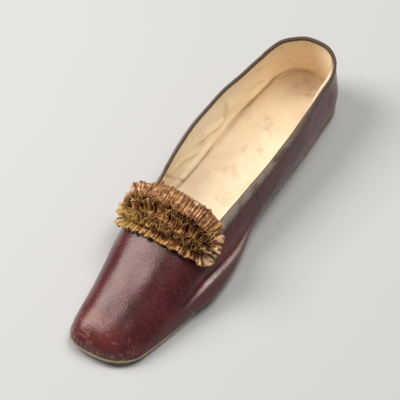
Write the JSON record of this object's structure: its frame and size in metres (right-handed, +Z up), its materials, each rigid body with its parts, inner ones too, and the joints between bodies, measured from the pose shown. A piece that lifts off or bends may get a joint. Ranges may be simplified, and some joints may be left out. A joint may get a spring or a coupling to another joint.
{
  "type": "slipper",
  "caption": "Flat leather slipper with a thin turned sole, a square toe, low open sides, a bound top line and a gathered ribbon ruche across the throat.",
  "frame": {"origin": "middle of the bounding box's underside, on the floor that the slipper stands on", "axes": "+Z up, the toe points along -Y, the inner side of the foot is +X"},
  "size_m": [0.0702, 0.2418, 0.0499],
  "materials": {
    "sole_leather": "plain tanned leather, matt",
    "cream_lining": "cream kid lining, matt",
    "burgundy_kid": "fine-grained burgundy kid, soft gloss",
    "binding_silk": "ribbed silk ribbon, faded brown",
    "ruche_silk": "shot silk ribbon, brown with olive gold"
  },
  "bodies": {
    "root": {"outsole": "sole_leather", "insole": "cream_lining", "upper": "burgundy_kid", "collar_binding": "binding_silk", "ribbon_ruche": "ruche_silk"}
  },
  "joints": []
}
